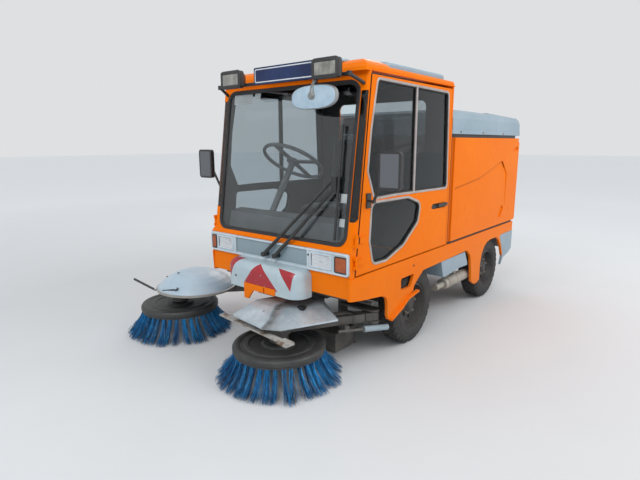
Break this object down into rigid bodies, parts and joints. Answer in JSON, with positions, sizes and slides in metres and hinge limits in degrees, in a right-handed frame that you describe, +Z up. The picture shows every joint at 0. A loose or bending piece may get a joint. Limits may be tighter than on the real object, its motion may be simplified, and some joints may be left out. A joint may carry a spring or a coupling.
{
  "type": "compact road sweeper",
  "caption": "Compact road sweeper: glazed cab with two front brooms on swing arms, suction mouth, tipping rear hopper and steered rear wheels.",
  "frame": {"origin": "on the ground under the middle of the suction mouth, between the two broom arms", "axes": "+Y to the rear along the vehicle, +Z up, +X to the vehicle's left"},
  "size_m": [2.3675, 3.5968, 2.026],
  "materials": {
    "orange": "gloss enamel, sun-worn",
    "pale_grey": "pale blue-grey gel coat",
    "bare_sheet": "worn, scratched",
    "chassis_black": "satin, dusty",
    "rim_steel": "dark, dusty",
    "tyre": "matt, dusty",
    "dark_glass": "tinted",
    "lamp_red": "clear over red",
    "lamp_glass": "clear ribbed",
    "black_plastic": "satin",
    "sign_blue": "satin, blank",
    "seat_fabric": "woven",
    "dash_grey": "grained",
    "bristle_blue": "fibres",
    "cast_metal": "oily",
    "silencer_steel": "dull"
  },
  "bodies": {
    "vehicle": {"chassis_frame": "chassis_black", "arm_mounts": "chassis_black", "front_axle": "chassis_black", "rear_axle": "chassis_black", "engine_block": "cast_metal", "side_tanks": "pale_grey", "silencer": "silencer_steel", "cab_floor": "chassis_black", "side_skirts": "orange", "cab_front": "orange", "cab_glass": "dark_glass", "lamp_panel": "pale_grey", "front_lamps": "lamp_glass", "nose_cover": "pale_grey", "front_bracket": "orange", "cab_roof": "orange", "cab_rear_wall": "orange", "driver_seat": "seat_fabric", "dashboard": "dash_grey", "roof_hood": "pale_grey", "lamp_bar": "black_plastic", "sign_plate": "sign_blue", "wiper": "black_plastic", "suction_mouth": "chassis_black", "suction_duct": "black_plastic", "rear_panel": "pale_grey", "rear_lamps": "lamp_red"},
    "hopper": {"hopper_body": "orange", "hopper_cover": "pale_grey"},
    "tailgate": {"tailgate": "orange"},
    "door_left": {"door_left": "orange", "door_glass_left": "dark_glass", "door_mirror_left": "black_plastic"},
    "knuckle_left": {"knuckle_left": "chassis_black"},
    "wheel_front_left": {"tyre_front_left": "tyre", "rim_front_left": "rim_steel"},
    "wheel_rear_left": {"tyre_rear_left": "tyre", "rim_rear_left": "rim_steel"},
    "arm_left": {"arm_boss_left": "chassis_black"},
    "lift_left": {"arm_beam_left": "chassis_black", "broom_cover_left": "bare_sheet"},
    "broom_left": {"broom_disc_left": "black_plastic", "bristles_left": "bristle_blue"},
    "door_right": {"door_right": "orange", "door_glass_right": "dark_glass", "door_mirror_right": "black_plastic"},
    "knuckle_right": {"knuckle_right": "chassis_black"},
    "wheel_front_right": {"tyre_front_right": "tyre", "rim_front_right": "rim_steel"},
    "wheel_rear_right": {"tyre_rear_right": "tyre", "rim_rear_right": "rim_steel"},
    "arm_right": {"arm_boss_right": "chassis_black"},
    "lift_right": {"arm_beam_right": "chassis_black", "broom_cover_right": "pale_grey"},
    "broom_right": {"broom_disc_right": "black_plastic", "bristles_right": "bristle_blue"}
  },
  "joints": [
    {"name": "wheel_front_left_spin", "type": "hinge", "parent": "vehicle", "child": "wheel_front_left", "pos_m": [0.5455, 0.438, 0.296], "axis": [1, 0, 0], "continuous": true},
    {"name": "steer_left", "type": "hinge", "parent": "vehicle", "child": "knuckle_left", "pos_m": [0.415, 1.903, 0.296], "axis": [0, 0, 1], "range_deg": [-28, 28]},
    {"name": "wheel_rear_left_spin", "type": "hinge", "parent": "knuckle_left", "child": "wheel_rear_left", "pos_m": [0.5455, 1.903, 0.296], "axis": [1, 0, 0], "continuous": true},
    {"name": "door_left_swing", "type": "hinge", "parent": "vehicle", "child": "door_left", "pos_m": [0.666, -0.39, 1.1], "axis": [0, 0, -1], "range_deg": [0, 75]},
    {"name": "arm_swing_left", "type": "hinge", "parent": "vehicle", "child": "arm_left", "pos_m": [0.552, -0.02, 0.33], "axis": [0, 0, 1], "range_deg": [0, 38]},
    {"name": "arm_lift_left", "type": "hinge", "parent": "arm_left", "child": "lift_left", "pos_m": [0.4995, -0.11093, 0.33], "axis": [-0.866, 0.5, 0], "range_deg": [0, 4.5]},
    {"name": "broom_left_spin", "type": "hinge", "parent": "lift_left", "child": "broom_left", "pos_m": [0.212, -0.6089, 0.2], "axis": [0, 0, 1], "continuous": true},
    {"name": "wheel_front_right_spin", "type": "hinge", "parent": "vehicle", "child": "wheel_front_right", "pos_m": [-0.5455, 0.438, 0.296], "axis": [1, 0, 0], "continuous": true},
    {"name": "steer_right", "type": "hinge", "parent": "vehicle", "child": "knuckle_right", "pos_m": [-0.415, 1.903, 0.296], "axis": [0, 0, 1], "range_deg": [-28, 28]},
    {"name": "wheel_rear_right_spin", "type": "hinge", "parent": "knuckle_right", "child": "wheel_rear_right", "pos_m": [-0.5455, 1.903, 0.296], "axis": [1, 0, 0], "continuous": true},
    {"name": "door_right_swing", "type": "hinge", "parent": "vehicle", "child": "door_right", "pos_m": [-0.666, -0.39, 1.1], "axis": [0, 0, 1], "range_deg": [0, 75]},
    {"name": "arm_swing_right", "type": "hinge", "parent": "vehicle", "child": "arm_right", "pos_m": [-0.552, -0.02, 0.33], "axis": [0, 0, 1], "range_deg": [0, 38]},
    {"name": "arm_lift_right", "type": "hinge", "parent": "arm_right", "child": "lift_right", "pos_m": [-0.62226, -0.09803, 0.33], "axis": [-0.7431, 0.6691, 0], "range_deg": [0, 4.5]},
    {"name": "broom_right_spin", "type": "hinge", "parent": "lift_right", "child": "broom_right", "pos_m": [-1.00701, -0.52534, 0.2], "axis": [0, 0, 1], "continuous": true},
    {"name": "hopper_tip", "type": "hinge", "parent": "vehicle", "child": "hopper", "pos_m": [0, 2.475, 0.684], "axis": [-1, 0, 0], "range_deg": [0, 50]},
    {"name": "tailgate_swing", "type": "hinge", "parent": "hopper", "child": "tailgate", "pos_m": [0, 2.498, 1.528], "axis": [1, 0, 0], "range_deg": [0, 85]}
  ],
  "couplings": [
    {"joint": "steer_right", "follows": "steer_left", "ratio": 1},
    {"joint": "arm_swing_right", "follows": "arm_swing_left", "ratio": 1}
  ]
}
